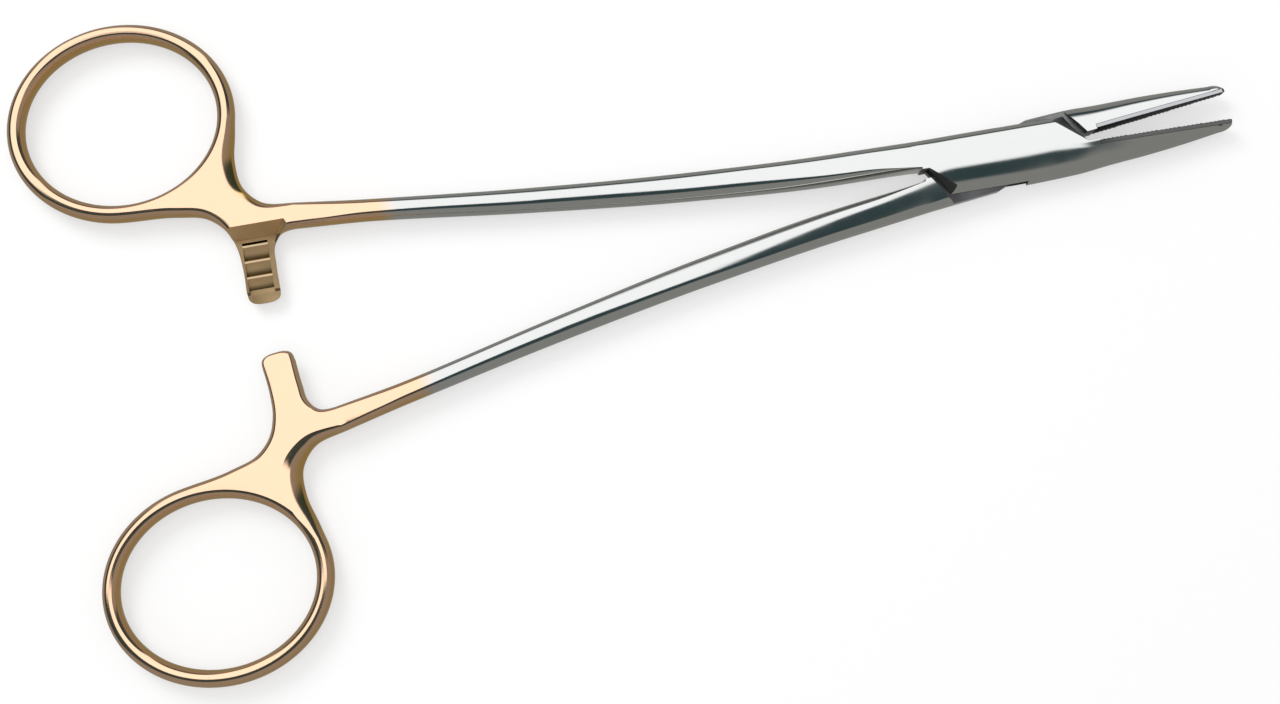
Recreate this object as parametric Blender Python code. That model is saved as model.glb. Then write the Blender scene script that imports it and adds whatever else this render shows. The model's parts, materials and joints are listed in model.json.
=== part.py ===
# Needle holder: two crossing arms with finger rings, a ratchet, a box lock and jaws with hard inserts.
# Sizes are in millimetres and angles in degrees. X runs along the tool to the jaws and Z is up.
# Each arm is drawn closed, with its handle towards +Y, and the tongue arm is then mirrored to -Y.
import math

import bmesh
import bpy
from mathutils import Vector

MM = 0.001

# Finger rings
RING_CENTRE_X = -115.0
RING_CENTRE_Y = 24.45
RING_OPENING_LENGTH = 25.6
RING_OPENING_WIDTH = 21.8
RING_WALL = 2.3
RING_TILT = 3.0

# Shanks: place along the tool, middle line and width, from the handle to the box
SHANK_STATIONS = (
    (-94.0, 8.35, 3.45),
    (-84.0, 7.37, 2.95),
    (-63.3, 5.07, 3.33),
    (-42.9, 3.27, 3.83),
    (-24.0, 2.25, 4.15),
)
SHANK_GAP = 0.24

# Curves where ring, ratchet bar and shank meet: offsets from the bar's side and the shank's edge
WEB_OFFSETS = ((-3.6, 3.2), (-1.5, 1.35), (-0.4, -1.1), (0.0, -4.1))
CROOK_OFFSETS = ((0.0, -4.0), (0.2, -1.7), (1.2, -0.35), (2.8, 0.02))
NECK_OFFSETS = ((-4.5, 0.95), (-6.5, 3.2))
RING_FOOT_OFFSET = (5.5, -0.5)
RING_SIDE_OFFSETS = ((-1.1, -7.9), (-0.5, -3.9))
RING_ARC_ENDS = (-12.0, 262.0)

# Box lock
BOX_START_X = -12.2
BOX_WIDTH = 8.2
BOX_THICKNESS = 4.6
BOX_SWELL = 0.05
BOX_OVERRUN = 1.1
TONGUE_THICKNESS = 1.6
HUB_RADIUS = 3.0
SLOT_GAP = 0.1
SIDE_GAP = 0.15
NOTCH_HANDLE_X = -11.15
NOTCH_JAW_X = 10.1
NOTCH_GAP = 0.15
CHEEK_ANGLE_DEEP = 122.0
CHEEK_ANGLE_TOP = 140.0
SHOULDER_ANGLE_DEEP = 118.0
SHOULDER_ANGLE_TOP = 99.0
PIN_RADIUS = 1.5
PIN_PRESS_GAP = 0.03
PIN_RUNNING_GAP = 0.08

# Jaws: widths of one jaw at equal steps from its start to where its nose rounds off
JAW_START_X = 8.0
JAW_START_STEP = 0.2
JAW_WIDTHS = (3.36, 2.9, 2.3, 1.55)
JAW_LENGTH = 30.0
NOSE_LENGTH = 2.2
JAW_STOCK = 1.0
JAW_FACE_GAP = 0.1
INSERT_START_X = 11.6
INSERT_THICKNESS = 0.6
INSERT_SEAT_GAP = 0.05
INSERT_END_GAP = 0.25
SERRATION_PITCH = 0.45
SERRATION_DEPTH = 0.13

# Ratchet
BAR_CENTRE_X = -99.9
BAR_WIDTH = 4.4
BAR_REACH = 2.4
BAR_END_ROUND = 1.5
BAR_END_FULLNESS = 0.72
BAR_GAP = 0.2
TOOTH_COUNT = 3
TOOTH_PITCH = 2.1
TOOTH_DEPTH = 0.55
TOOTH_RISE = 0.52
TOOTH_CREST = 0.42
FIRST_TOOTH_Y = 5.9
BAR_END_DROP = 0.33
RECESS_ROOT_DROP = 0.22
RECESS_SLOPE = (-0.3, 1.4)
RECESS_END_SLANT = 1.2

# Thickness of the forging: handle, middle of the shank, where it starts to swell, and nose
HANDLE_THICKNESS = 3.2
SHANK_THICKNESS = 3.1
SWELL_THICKNESS = 3.3
TIP_THICKNESS = 2.0

# Width of the rounded flank along the tool: place and width
FLANK_STATIONS = (
    (-131.0, 0.95),
    (-98.0, 0.95),
    (-85.0, 0.9),
    (-70.0, 1.15),
    (-25.0, 1.25),
    (-10.0, 2.0),
    (8.0, 2.0),
    (13.0, 1.1),
    (30.0, 0.6),
)
CROTCH_FLANK_STATIONS = ((-27.0, 1.25), (-21.0, 1.1), (-16.0, 0.6), (-12.2, 0.3))
STOCK_FLANK = 0.4
FLANK_STEPS = 4

# Pose in the photograph and the lock's own stop
REST_OPENING = 6.6
OPENING_STOP = 45.0

# Finish
GOLD_EDGE_X = -82.0
GOLD = (0.83, 0.62, 0.33)
STEEL = (0.72, 0.73, 0.74)
CARBIDE = (0.27, 0.28, 0.29)

# Spacing of the points along the outlines
FINE_STEP = 1.1
COARSE_STEP = 3.4
SHORTEST_STEP = 0.05
BAR_END_ANGLE_STEP = 22.5
NOSE_ANGLE_STEP = 15.0
BORE_SIDES = 48
BEYOND = 8.0
CUT_MARGIN = 0.2
SLOT_MARGIN = 3.0


def clear_scene():
    for thing in list(bpy.data.objects):
        bpy.data.objects.remove(thing, do_unlink=True)


def make_collection(name):
    collection = bpy.data.collections.new(name)
    bpy.context.scene.collection.children.link(collection)
    return collection


def make_material(name, colour, roughness):
    material = bpy.data.materials.new(name)
    material.use_nodes = True
    shader = material.node_tree.nodes["Principled BSDF"]
    shader.inputs["Base Color"].default_value = (*colour, 1.0)
    shader.inputs["Metallic"].default_value = 1.0
    shader.inputs["Roughness"].default_value = roughness
    material.diffuse_color = (*colour, 1.0)
    return material


def polar(angle, length=1.0):
    """A flat vector at an angle in degrees."""
    turn = math.radians(angle)
    return Vector((math.cos(turn), math.sin(turn))) * length


def smooth_value(stations, x):
    """Value at x on a curve through the stations that never overshoots them."""
    places = [station[0] for station in stations]
    values = [station[1] for station in stations]
    x = min(max(x, places[0]), places[-1])
    slopes = [(values[i + 1] - values[i]) / (places[i + 1] - places[i]) for i in range(len(places) - 1)]
    lean = [slopes[0]]
    for before, after in zip(slopes, slopes[1:]):
        lean.append(2.0 * before * after / (before + after) if before * after > 0.0 else 0.0)
    lean.append(slopes[-1])
    i = max(j for j in range(len(slopes)) if x >= places[j])
    span = places[i + 1] - places[i]
    s = (x - places[i]) / span
    start = (1.0 + 2.0 * s) * (1.0 - s) ** 2 * values[i] + s * (1.0 - s) ** 2 * span * lean[i]
    end = s * s * (3.0 - 2.0 * s) * values[i + 1] + s * s * (s - 1.0) * span * lean[i + 1]
    return start + end


def smooth_path(points, step, before, after):
    """Points along a curve through the given ones; before and after only set its end directions."""
    chain = [Vector(point) for point in (before, *points, after)]
    path = []
    for a, b, c, d in zip(chain, chain[1:], chain[2:], chain[3:]):
        first, middle, last = (b - a).length, (c - b).length, (d - c).length
        leave = ((b - a) / first * middle + (c - b) / middle * first) / (first + middle)
        arrive = ((c - b) / middle * last + (d - c) / last * middle) / (middle + last)
        count = max(1, round(middle / step))
        for i in range(count):
            s = i / count
            start = b * (1.0 + 2.0 * s) * (1.0 - s) ** 2 + leave * middle * s * (1.0 - s) ** 2
            end = c * s * s * (3.0 - 2.0 * s) + arrive * middle * s * s * (s - 1.0)
            path.append(start + end)
    path.append(chain[-2])
    return path


def steps_between(start, end, step):
    count = max(1, round(abs(end - start) / step))
    return [start + (end - start) * i / count for i in range(count + 1)]


def half_thickness(x):
    """Half the forging's thickness at x: slim handle, full box, jaws that taper to the nose."""
    stations = (
        (RING_CENTRE_X - RING_OPENING_LENGTH, HANDLE_THICKNESS / 2),
        (SHANK_STATIONS[0][0], HANDLE_THICKNESS / 2),
        (SHANK_STATIONS[2][0], SHANK_THICKNESS / 2),
        (SHANK_STATIONS[3][0], SWELL_THICKNESS / 2),
        (BOX_START_X - BOX_OVERRUN, BOX_THICKNESS / 2),
        (NOTCH_JAW_X + BOX_OVERRUN, BOX_THICKNESS / 2),
        (JAW_LENGTH, TIP_THICKNESS / 2),
    )
    return smooth_value(stations, x)


def shank_edge(x, side):
    """Edge of the shank at x: side 1 is the outer edge, side -1 the one facing the other arm."""
    box_middle = (BOX_WIDTH + SHANK_GAP) / 4
    box_share = (BOX_WIDTH - SHANK_GAP) / 2
    stations = (*SHANK_STATIONS, (BOX_START_X, box_middle, box_share))
    middle = smooth_value([(place, centre) for place, centre, width in stations], x)
    width = smooth_value([(place, width) for place, centre, width in stations], x)
    edge = middle + side * width / 2
    return edge if side > 0 else max(edge, SHANK_GAP / 2)


def jaw_stations():
    """Places along the tool and the jaw's width there, from the box to where the nose rounds off."""
    start = (JAW_START_X, BOX_WIDTH / 2 - JAW_START_STEP)
    step = (JAW_LENGTH - NOSE_LENGTH - JAW_START_X) / len(JAW_WIDTHS)
    return [start, *[(JAW_START_X + step * (i + 1), width) for i, width in enumerate(JAW_WIDTHS)]]


def ring_point(angle, wall):
    """Point on the ring's opening, or that far outside it, at an angle round its centre."""
    length = RING_OPENING_LENGTH / 2 + wall
    width = RING_OPENING_WIDTH / 2 + wall
    turn, tilt = math.radians(angle), math.radians(RING_TILT)
    along, across = length * math.cos(turn), width * math.sin(turn)
    x = RING_CENTRE_X + along * math.cos(tilt) - across * math.sin(tilt)
    y = RING_CENTRE_Y + along * math.sin(tilt) + across * math.cos(tilt)
    return Vector((x, y))


def ring_arc(start, end, wall):
    size = (RING_OPENING_LENGTH + RING_OPENING_WIDTH) / 4 + wall
    step = math.degrees(FINE_STEP * 1.25 / size)
    return [ring_point(angle, wall) for angle in steps_between(start, end, step)]


def arm_outline():
    """Closed outline of the forging: ring, ratchet bar, shank, box and jaw, with flank widths."""
    root_x = SHANK_STATIONS[0][0]
    box_half = BOX_WIDTH / 2
    bar_left = BAR_CENTRE_X - BAR_WIDTH / 2
    bar_right = BAR_CENTRE_X + BAR_WIDTH / 2
    inner_root = shank_edge(root_x, -1)
    outer_root = shank_edge(root_x, 1)
    ring_right = RING_CENTRE_X + RING_OPENING_LENGTH / 2 + RING_WALL
    ring_low = RING_CENTRE_Y - RING_OPENING_WIDTH / 2 - RING_WALL

    bar_end = BAR_END_ROUND - BAR_REACH
    ring = ring_arc(*RING_ARC_ENDS, RING_WALL)
    web_points = [(bar_left + along, inner_root + across) for along, across in WEB_OFFSETS]
    web = smooth_path(
        [
            ring[-1],
            (RING_CENTRE_X + RING_FOOT_OFFSET[0], ring_low + RING_FOOT_OFFSET[1]),
            *web_points,
            (bar_left, bar_end),
        ],
        FINE_STEP,
        ring[-2],
        (bar_left, bar_end - FINE_STEP),
    )
    nose = []
    for angle in steps_between(180.0, 360.0, BAR_END_ANGLE_STEP):
        turn = polar(angle)
        along = math.copysign(abs(turn.x) ** BAR_END_FULLNESS, turn.x) * BAR_WIDTH / 2
        across = abs(turn.y) ** BAR_END_FULLNESS * BAR_END_ROUND
        nose.append(Vector((BAR_CENTRE_X + along, bar_end - across)))
    crook = smooth_path(
        [
            (bar_right, bar_end),
            *[(bar_right + along, inner_root + across) for along, across in CROOK_OFFSETS],
            (root_x, inner_root),
        ],
        FINE_STEP,
        (bar_right, bar_end - FINE_STEP),
        (root_x + FINE_STEP, shank_edge(root_x + FINE_STEP, -1)),
    )
    inner = [Vector((x, shank_edge(x, -1))) for x in steps_between(root_x, BOX_START_X, COARSE_STEP)]
    step_down = [Vector((BOX_START_X, y)) for y in steps_between(SHANK_GAP / 2, -box_half, FINE_STEP)]
    lower = [(BOX_START_X, box_half), (0.0, box_half + BOX_SWELL), *jaw_stations()]
    jaw_end, jaw_end_width = lower[-1]
    under_places = steps_between(BOX_START_X, jaw_end, FINE_STEP * 1.4)
    under = [Vector((x, -smooth_value(lower, x))) for x in under_places]
    tip = []
    for angle in steps_between(-90.0, 0.0, NOSE_ANGLE_STEP):
        turn = polar(angle)
        tip.append(Vector((jaw_end + turn.x * NOSE_LENGTH, turn.y * jaw_end_width)))
    box_end = NOTCH_JAW_X + 2 * BOX_OVERRUN
    face = [Vector((x, JAW_STOCK)) for x in steps_between(JAW_LENGTH, box_end, COARSE_STEP)]
    step_up = [Vector((box_end, y)) for y in steps_between(JAW_STOCK, box_half, FINE_STEP)]
    over = [Vector((x, box_half)) for x in steps_between(box_end, BOX_START_X, COARSE_STEP)]
    outer = [Vector((x, shank_edge(x, 1))) for x in steps_between(BOX_START_X, root_x, COARSE_STEP)]
    neck = smooth_path(
        [
            (root_x, outer_root),
            *[(root_x + along, outer_root + across) for along, across in NECK_OFFSETS],
            *[(ring_right + along, RING_CENTRE_Y + across) for along, across in RING_SIDE_OFFSETS],
            ring[0],
        ],
        FINE_STEP,
        (root_x + FINE_STEP, shank_edge(root_x + FINE_STEP, 1)),
        ring[1],
    )
    pieces = (ring, web, nose, crook, inner, step_down, under, tip, face, step_up, over, outer, neck)
    outline = []
    for piece in pieces:
        for point in piece:
            if not outline or (point - outline[-1]).length > SHORTEST_STEP:
                outline.append(point)
    if (outline[0] - outline[-1]).length < SHORTEST_STEP:
        outline.pop()
    return outline


def flank_width(point):
    """Width of the rounded flank: narrow at the crotch and on the stock that is cut away."""
    jaw_stock = point.x > NOTCH_JAW_X and point.y > 0.0
    handle_stock = NOTCH_HANDLE_X - 2 * BOX_OVERRUN < point.x < NOTCH_HANDLE_X and point.y < 0.0
    if jaw_stock or handle_stock:
        return STOCK_FLANK
    near_crotch = CROTCH_FLANK_STATIONS[0][0] < point.x < BOX_START_X + SHORTEST_STEP
    if near_crotch and point.y < shank_edge(point.x, -1) + CUT_MARGIN:
        return smooth_value(CROTCH_FLANK_STATIONS, point.x)
    return smooth_value(FLANK_STATIONS, point.x)


def inward(loop, i):
    """Unit direction from an outline's point into the material, which lies on its left."""
    along = loop[(i + 1) % len(loop)] - loop[i - 1]
    return Vector((-along.y, along.x)).normalized()


def add_mesh_object(name, mesh_data, collection, material):
    mesh = bpy.data.meshes.new(name)
    mesh_data.to_mesh(mesh)
    mesh_data.free()
    thing = bpy.data.objects.new(name, mesh)
    collection.objects.link(thing)
    if material:
        mesh.materials.append(material)
    return thing


def forged_slab(name, side, collection):
    """The arm's blank: its outline with a flat on top and below and rounded flanks between them."""
    hole = ring_arc(0.0, -360.0, 0.0)[:-1]
    mesh_data = bmesh.new()
    upper_edges, lower_edges = [], []
    for loop in (arm_outline(), hole):
        rows = []
        for k in range(-FLANK_STEPS, FLANK_STEPS + 1):
            turn = math.radians(90.0 * k / FLANK_STEPS)
            row = []
            for i, point in enumerate(loop):
                inset = flank_width(point) * (1.0 - math.cos(turn))
                spot = point + inward(loop, i) * inset
                height = half_thickness(point.x) * math.sin(turn)
                row.append(mesh_data.verts.new((spot.x * MM, side * spot.y * MM, height * MM)))
            rows.append(row)
        count = len(loop)
        for low, high in zip(rows, rows[1:]):
            for i in range(count):
                j = (i + 1) % count
                mesh_data.faces.new((low[i], low[j], high[j], high[i]))
        for i in range(count):
            upper_edges.append(mesh_data.edges.get((rows[-1][i], rows[-1][(i + 1) % count])))
            lower_edges.append(mesh_data.edges.get((rows[0][i], rows[0][(i + 1) % count])))
    for edges in (upper_edges, lower_edges):
        bmesh.ops.triangle_fill(mesh_data, use_beauty=True, use_dissolve=False, edges=edges)
    bmesh.ops.triangulate(mesh_data, faces=mesh_data.faces)
    bmesh.ops.recalc_face_normals(mesh_data, faces=mesh_data.faces)
    return add_mesh_object(name, mesh_data, collection, None)


def loft_cutter(name, levels, collection):
    """Cutter lofted through flat polygons of equal count: each level is its height and its points."""
    mesh_data = bmesh.new()
    rows = []
    for height, points in levels:
        rows.append([mesh_data.verts.new((x * MM, y * MM, height * MM)) for x, y in points])
    count = len(rows[0])
    for low, high in zip(rows, rows[1:]):
        for i in range(count):
            j = (i + 1) % count
            mesh_data.faces.new((low[i], low[j], high[j], high[i]))
    mesh_data.faces.new(list(reversed(rows[0])))
    mesh_data.faces.new(rows[-1])
    bmesh.ops.recalc_face_normals(mesh_data, faces=mesh_data.faces)
    cutter = add_mesh_object(name, mesh_data, collection, None)
    cutter.hide_render = True
    cutter.display_type = "WIRE"
    return cutter


def prism_cutter(name, points, low, high, collection):
    return loft_cutter(name, ((low, points), (high, points)), collection)


def profile_cutter(name, profile, start_x, end_x, end_slant, collection):
    """Cutter drawn in the YZ plane and pulled along X; its far end leans out by the slant a height."""
    mesh_data = bmesh.new()
    start = [mesh_data.verts.new((start_x * MM, y * MM, z * MM)) for y, z in profile]
    end = [mesh_data.verts.new(((end_x + abs(z) * end_slant) * MM, y * MM, z * MM)) for y, z in profile]
    ends = (start, end)
    count = len(profile)
    for i in range(count):
        j = (i + 1) % count
        mesh_data.faces.new((ends[0][i], ends[0][j], ends[1][j], ends[1][i]))
    mesh_data.faces.new(list(reversed(ends[0])))
    mesh_data.faces.new(ends[1])
    bmesh.ops.recalc_face_normals(mesh_data, faces=mesh_data.faces)
    cutter = add_mesh_object(name, mesh_data, collection, None)
    cutter.hide_render = True
    cutter.display_type = "WIRE"
    return cutter


def cylinder(name, radius, height, collection, material):
    mesh_data = bmesh.new()
    bmesh.ops.create_cone(
        mesh_data,
        cap_ends=True,
        segments=BORE_SIDES,
        radius1=radius * MM,
        radius2=radius * MM,
        depth=height * MM,
    )
    return add_mesh_object(name, mesh_data, collection, material)


def cut(thing, cutter):
    """Subtract a cutter that lies in the arm's own frame."""
    cutter.parent = thing
    modifier = thing.modifiers.new(cutter.name, "BOOLEAN")
    modifier.operation = "DIFFERENCE"
    modifier.solver = "EXACT"
    modifier.object = cutter


def slot_outline():
    """Plan of the slot: clear of the tongue from closed to its stop, leaving a web at each end."""
    reach = HUB_RADIUS + SIDE_GAP
    corner = reach / math.cos(math.radians(OPENING_STOP / 2))
    points = []
    for apex, turn in ((NOTCH_HANDLE_X, 0.0), (NOTCH_JAW_X, 180.0)):
        slope = math.degrees(math.asin(HUB_RADIUS / abs(apex)))
        shut = polar(slope + turn)
        foot = polar(90.0 + slope + turn, reach)
        bend = polar(90.0 + slope + OPENING_STOP / 2 + turn, corner)
        open_way = polar(slope + OPENING_STOP + turn)
        points.append(foot - shut * (abs(apex) + SLOT_MARGIN))
        points.append(bend)
        points.append(bend + open_way * BEYOND)
        points.append(polar(30.0 + turn, BEYOND * 2.25))
    return points


def notch_levels(apex, y, turn, deep_angle, top_angle, deep_half):
    """Levels of the cut that ends the cheeks: the plan opens out from the slot to the top and bottom."""
    outside = BOX_THICKNESS / 2 + CUT_MARGIN
    levels = []
    for height in (-outside, -deep_half, deep_half, outside):
        angle = top_angle if abs(height) > deep_half else deep_angle
        start = Vector((apex, y))
        sideways = polar(turn)
        points = (
            start,
            start + polar(angle + turn, BEYOND * 1.2),
            start + polar(90.0 + turn, BEYOND) + sideways * JAW_LENGTH,
            start + sideways * JAW_LENGTH,
        )
        levels.append((height, points))
    return levels


def cheek_cutters(collection):
    """Cuts that end the box's cheeks at the jaw and at the handle."""
    deep_half = TONGUE_THICKNESS / 2 + SLOT_GAP
    jaw = notch_levels(NOTCH_JAW_X, -JAW_FACE_GAP / 2, 0.0, CHEEK_ANGLE_DEEP, CHEEK_ANGLE_TOP, deep_half)
    handle = notch_levels(NOTCH_HANDLE_X, 0.0, 180.0, CHEEK_ANGLE_DEEP, CHEEK_ANGLE_TOP, deep_half)
    return [loft_cutter("cheek_end_jaw", jaw, collection), loft_cutter("cheek_end_handle", handle, collection)]


def tongue_cutters(collection):
    """Cuts that thin the tongue arm between its shoulders, above and below the tongue."""
    outside = BOX_THICKNESS / 2 + CUT_MARGIN
    jaw_apex = NOTCH_JAW_X + NOTCH_GAP
    handle_apex = NOTCH_HANDLE_X - NOTCH_GAP
    cutters = []
    for name, sign in (("above_tongue", 1.0), ("below_tongue", -1.0)):
        levels = []
        for height, angle in ((TONGUE_THICKNESS / 2, SHOULDER_ANGLE_DEEP), (outside, SHOULDER_ANGLE_TOP)):
            points = (
                Vector((handle_apex, 0.0)) + polar(angle + 180.0, BEYOND),
                Vector((handle_apex, 0.0)),
                Vector((handle_apex, BEYOND)),
                Vector((jaw_apex, 0.0)) + polar(angle, BEYOND),
                Vector((jaw_apex, 0.0)),
                Vector((jaw_apex, -BEYOND)),
            )
            levels.append((sign * height, points))
        cutters.append(loft_cutter(name, levels, collection))
    return cutters


def tongue_side_cutters(collection):
    """Cuts along the tongue's sides, tangent to its hub, and along the faces that meet the other arm."""
    height = BOX_THICKNESS
    cutters = []
    for name, apex, y, turn in (
        ("tongue_side_handle", NOTCH_HANDLE_X, 0.0, 0.0),
        ("tongue_side_jaw", NOTCH_JAW_X, JAW_FACE_GAP / 2, 180.0),
    ):
        slope = math.degrees(math.asin(HUB_RADIUS / abs(apex)))
        start = Vector((apex, y))
        points = (
            start,
            start + polar(slope + turn, BEYOND * 3.0),
            start + polar(90.0 + turn, BEYOND) - polar(turn, 2 * JAW_LENGTH - BEYOND * 3.0),
            start - polar(turn, JAW_LENGTH),
        )
        cutters.append(prism_cutter(name, points, -height, height, collection))
    return cutters


def seat_cutter(name, side, collection):
    """Step in the jaw's face that the insert sits in."""
    back = JAW_FACE_GAP / 2 + INSERT_THICKNESS + INSERT_SEAT_GAP
    start_x = INSERT_START_X - INSERT_SEAT_GAP
    end_x = JAW_LENGTH + BEYOND
    points = [(start_x, -side * back), (end_x, -side * back), (end_x, side * BEYOND), (start_x, side * BEYOND)]
    return prism_cutter(name, points, -BOX_THICKNESS, BOX_THICKNESS, collection)


def ratchet_cutter(name, side, collection):
    """Recess over the ratchet bar with its saw teeth, above the box arm's bar and below the tongue arm's."""
    top = HANDLE_THICKNESS
    bar_top = -BAR_GAP / 2
    inner_root = shank_edge(SHANK_STATIONS[0][0], -1)
    past_bar = -BAR_REACH - CUT_MARGIN
    profile = [(past_bar, top), (past_bar, bar_top - BAR_END_DROP)]
    for i in reversed(range(TOOTH_COUNT)):
        heel = FIRST_TOOTH_Y - TOOTH_PITCH * (i + 1)
        profile.append((heel, bar_top - TOOTH_DEPTH))
        profile.append((heel + TOOTH_RISE, bar_top))
        profile.append((heel + TOOTH_RISE + TOOTH_CREST, bar_top))
    profile.append((FIRST_TOOTH_Y, bar_top - TOOTH_DEPTH))
    profile.append((inner_root + RECESS_SLOPE[0], bar_top - RECESS_ROOT_DROP))
    profile.append((inner_root + RECESS_SLOPE[1], HANDLE_THICKNESS / 2))
    profile.append((inner_root + RECESS_SLOPE[1], top))
    placed = [(side * y, side * z) for y, z in profile]
    left = BAR_CENTRE_X - BAR_WIDTH
    right = BAR_CENTRE_X + BAR_WIDTH / 2 + CUT_MARGIN
    return profile_cutter(name, placed, left, right, RECESS_END_SLANT, collection)


def pin_bore(name, gap, collection):
    bore = cylinder(name, PIN_RADIUS + gap, BOX_THICKNESS + 2 * BEYOND, collection, None)
    bore.hide_render = True
    bore.display_type = "WIRE"
    return bore


def colour_arm(arm, gold, steel):
    arm.data.materials.append(gold)
    arm.data.materials.append(steel)
    for face in arm.data.polygons:
        face.material_index = 0 if face.center.x < GOLD_EDGE_X * MM else 1


def shade_round(thing, angle):
    thing.data.shade_smooth()
    thing.data.set_sharp_from_angle(angle=math.radians(angle))


def place_arm(thing, side):
    """Turn a piece about the pivot from the closed tool to the pose in the photograph."""
    thing.location = (0.0, 0.0, BOX_THICKNESS / 2 * MM)
    thing.rotation_euler = (0.0, 0.0, math.radians(-side * REST_OPENING / 2))


def build_box_arm(parts, cutters, gold, steel):
    arm = forged_slab("box_arm", 1.0, parts)
    colour_arm(arm, gold, steel)
    slot_half = TONGUE_THICKNESS / 2 + SLOT_GAP
    cut(arm, prism_cutter("slot", slot_outline(), -slot_half, slot_half, cutters))
    for cutter in cheek_cutters(cutters):
        cut(arm, cutter)
    cut(arm, seat_cutter("lower_seat", 1.0, cutters))
    cut(arm, ratchet_cutter("box_arm_ratchet", 1.0, cutters))
    cut(arm, pin_bore("box_bore", PIN_PRESS_GAP, cutters))
    place_arm(arm, 1.0)


def build_tongue_arm(parts, cutters, gold, steel):
    arm = forged_slab("tongue_arm", -1.0, parts)
    colour_arm(arm, gold, steel)
    for cutter in tongue_side_cutters(cutters) + tongue_cutters(cutters):
        cut(arm, cutter)
    cut(arm, seat_cutter("upper_seat", -1.0, cutters))
    cut(arm, ratchet_cutter("tongue_arm_ratchet", -1.0, cutters))
    cut(arm, pin_bore("tongue_bore", PIN_RUNNING_GAP, cutters))
    place_arm(arm, -1.0)


def build_insert(name, side, parts, material):
    """Hard plate let into one jaw: a face of small pyramids on a flat back, as high as the jaw."""
    nose_x, nose_width = jaw_stations()[-1]
    front = JAW_FACE_GAP / 2
    back = front + INSERT_THICKNESS
    end_x = nose_x + NOSE_LENGTH * math.sqrt(1.0 - (back / nose_width) ** 2) - INSERT_END_GAP
    nose_flank = FLANK_STATIONS[-1][1]
    columns = round((end_x - INSERT_START_X) / SERRATION_PITCH)
    rows = 2 * round(BOX_THICKNESS / 2 / SERRATION_PITCH)
    mesh_data = bmesh.new()
    grid = []
    for i in range(columns + 1):
        x = INSERT_START_X + (end_x - INSERT_START_X) * i / columns
        over = max(0.0, (x - JAW_LENGTH) / nose_flank + 1.0)
        reach = half_thickness(x) * math.sqrt(1.0 - over**2) - INSERT_SEAT_GAP
        line = []
        for j in range(rows + 1):
            rim = i in (0, columns) or j in (0, rows)
            depth = SERRATION_DEPTH if rim or (i + j) % 2 else 0.0
            z = reach * (2.0 * j / rows - 1.0)
            line.append(mesh_data.verts.new((x * MM, -side * (front + depth) * MM, z * MM)))
        grid.append(line)
    for left, right in zip(grid, grid[1:]):
        for j in range(rows):
            mesh_data.faces.new((left[j], right[j], right[j + 1], left[j + 1]))
    rim_edges = [edge for edge in mesh_data.edges if edge.is_boundary]
    pulled = bmesh.ops.extrude_edge_only(mesh_data, edges=rim_edges)["geom"]
    back_edges = [item for item in pulled if isinstance(item, bmesh.types.BMEdge)]
    for item in pulled:
        if isinstance(item, bmesh.types.BMVert):
            item.co.y = -side * back * MM
    bmesh.ops.contextual_create(mesh_data, geom=[edge for edge in back_edges if edge.is_boundary])
    bmesh.ops.recalc_face_normals(mesh_data, faces=mesh_data.faces)
    insert = add_mesh_object(name, mesh_data, parts, material)
    place_arm(insert, side)


def build_pin(parts, steel):
    pin = cylinder("pivot_pin", PIN_RADIUS, BOX_THICKNESS, parts, steel)
    shade_round(pin, 40.0)
    pin.location = (0.0, 0.0, BOX_THICKNESS / 2 * MM)


def main():
    clear_scene()
    parts = make_collection("needle_holder")
    cutters = make_collection("cutters")
    gold = make_material("gold_plate", GOLD, 0.22)
    steel = make_material("polished_steel", STEEL, 0.16)
    pin_steel = make_material("pin_steel", STEEL, 0.25)
    carbide = make_material("carbide", CARBIDE, 0.45)
    build_box_arm(parts, cutters, gold, steel)
    build_tongue_arm(parts, cutters, gold, steel)
    build_pin(parts, pin_steel)
    build_insert("lower_jaw_insert", 1.0, parts, carbide)
    build_insert("upper_jaw_insert", -1.0, parts, carbide)


main()
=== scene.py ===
import json
import math

import bmesh
import bpy
import numpy as np
from mathutils import Matrix, Vector
from mathutils.bvhtree import BVHTree
from mathutils.geometry import delaunay_2d_cdt
from mathutils.interpolate import poly_3d_calc


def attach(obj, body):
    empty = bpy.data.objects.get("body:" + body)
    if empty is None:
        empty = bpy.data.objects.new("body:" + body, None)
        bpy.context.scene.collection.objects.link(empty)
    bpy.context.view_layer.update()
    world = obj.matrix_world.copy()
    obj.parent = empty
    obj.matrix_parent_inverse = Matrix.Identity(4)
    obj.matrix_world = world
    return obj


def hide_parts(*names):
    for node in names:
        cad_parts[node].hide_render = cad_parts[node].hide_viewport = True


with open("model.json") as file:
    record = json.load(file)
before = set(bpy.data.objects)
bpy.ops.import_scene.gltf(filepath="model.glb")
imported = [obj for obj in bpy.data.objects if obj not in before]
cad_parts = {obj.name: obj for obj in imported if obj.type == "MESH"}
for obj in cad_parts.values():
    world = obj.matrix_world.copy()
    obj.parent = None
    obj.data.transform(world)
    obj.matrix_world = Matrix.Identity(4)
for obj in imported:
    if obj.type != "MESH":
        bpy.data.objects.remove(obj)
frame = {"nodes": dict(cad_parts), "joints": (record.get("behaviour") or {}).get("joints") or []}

scene = bpy.context.scene
scene.view_settings.view_transform = "Standard"
mm = 0.001
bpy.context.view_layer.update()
pivot = Vector(frame["joints"][0]["pos_m"])     # middle of the box, on the pin's axis

# The arms are drawn closed, in millimetres, with X along the tool from the pin and the handle towards +Y.
# side is 1 for the box arm and -1 for the tongue arm, which is its mirror image.


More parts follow.
